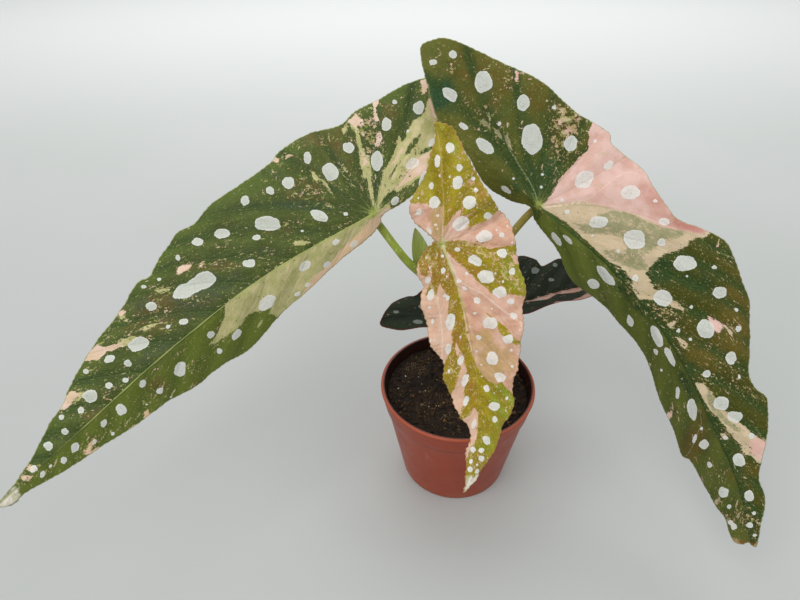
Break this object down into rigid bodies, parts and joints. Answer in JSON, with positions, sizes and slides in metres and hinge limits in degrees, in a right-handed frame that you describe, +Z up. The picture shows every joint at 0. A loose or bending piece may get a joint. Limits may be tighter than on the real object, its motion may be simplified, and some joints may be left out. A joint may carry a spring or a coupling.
{
  "type": "potted polka dot begonia",
  "caption": "Young angel wing begonia with large variegated, white-dotted leaves on slim stalks, growing from soil in a small round plastic nursery pot.",
  "frame": {"origin": "centre of the pot's flat underside", "axes": "+Z up, -Y towards the front with the young leaf, +X towards the viewer's right"},
  "size_m": [0.3594, 0.1725, 0.2469],
  "materials": {
    "pot_plastic": "satin terracotta-coloured polypropylene",
    "soil": "damp crumbly peat with fibres and light specks",
    "cane": "smooth fleshy stem with swollen joints",
    "stipule": "thin pale green scale",
    "stalk_green": "smooth yellow-green leaf stalk",
    "stalk_olive": "smooth olive brown leaf stalk",
    "leaf_mature": "satin dark green leaf with white dots, pink and cream sectors and fine freckles",
    "leaf_young": "satin olive yellow and salmon pink leaf with many white dots",
    "leaf_shaded": "satin dark green leaf with a red edge"
  },
  "bodies": {
    "root": {"pot": "pot_plastic", "soil": "soil", "cane": "cane", "stipule": "stipule", "stalk_left": "stalk_green", "stalk_right": "stalk_olive", "stalk_centre": "stalk_green", "stalk_back": "stalk_olive", "blade_left": "leaf_mature", "blade_right": "leaf_mature", "blade_centre": "leaf_young", "blade_back": "leaf_shaded"}
  },
  "joints": []
}
